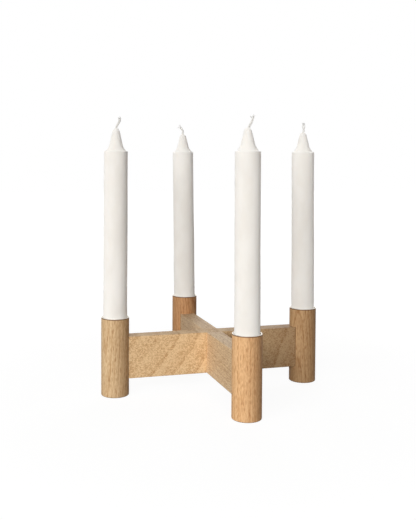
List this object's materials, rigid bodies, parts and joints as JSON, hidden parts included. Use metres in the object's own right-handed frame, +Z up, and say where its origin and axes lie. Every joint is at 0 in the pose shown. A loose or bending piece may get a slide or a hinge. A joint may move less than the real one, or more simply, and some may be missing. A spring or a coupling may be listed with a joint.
{
  "type": "advent candle holder",
  "caption": "Oak candle holder: crossed rails halved together join round posts, each with a metal cup that holds a tall tapered candle which lifts out.",
  "frame": {"origin": "on the table surface, under the middle of the crossing of the two rails", "axes": "+X along the upper rail to the right-hand post, +Y along the lower rail to the rear post, +Z up"},
  "size_m": [0.216, 0.216, 0.258],
  "materials": {
    "rail_oak": "oiled oak, planed and sanded",
    "left_post_oak": "oiled oak, turned, pale",
    "front_post_oak": "oiled oak, turned, warm",
    "right_post_oak": "oiled oak, turned, brown",
    "rear_post_oak": "oiled oak, turned, reddish",
    "dowel_beech": "plain beech dowel",
    "cup_metal": "thin pressed steel, satin",
    "candle_wax": "off-white wax",
    "wick_cotton": "braided cotton, waxed"
  },
  "bodies": {
    "holder": {"upper_rail": "rail_oak", "lower_rail": "rail_oak", "left_post": "left_post_oak", "left_cup": "cup_metal", "left_upper_dowel": "dowel_beech", "left_lower_dowel": "dowel_beech", "front_post": "front_post_oak", "front_cup": "cup_metal", "front_upper_dowel": "dowel_beech", "front_lower_dowel": "dowel_beech", "right_post": "right_post_oak", "right_cup": "cup_metal", "right_upper_dowel": "dowel_beech", "right_lower_dowel": "dowel_beech", "rear_post": "rear_post_oak", "rear_cup": "cup_metal", "rear_upper_dowel": "dowel_beech", "rear_lower_dowel": "dowel_beech"},
    "left_candle": {"left_candle": "candle_wax", "left_wick": "wick_cotton"},
    "front_candle": {"front_candle": "candle_wax", "front_wick": "wick_cotton"},
    "right_candle": {"right_candle": "candle_wax", "right_wick": "wick_cotton"},
    "rear_candle": {"rear_candle": "candle_wax", "rear_wick": "wick_cotton"}
  },
  "joints": [
    {"name": "left_candle_lift", "type": "slide", "parent": "holder", "child": "left_candle", "axis": [0, 0, 1], "range_m": [0, 0.035]},
    {"name": "front_candle_lift", "type": "slide", "parent": "holder", "child": "front_candle", "axis": [0, 0, 1], "range_m": [0, 0.035]},
    {"name": "right_candle_lift", "type": "slide", "parent": "holder", "child": "right_candle", "axis": [0, 0, 1], "range_m": [0, 0.035]},
    {"name": "rear_candle_lift", "type": "slide", "parent": "holder", "child": "rear_candle", "axis": [0, 0, 1], "range_m": [0, 0.035]}
  ]
}
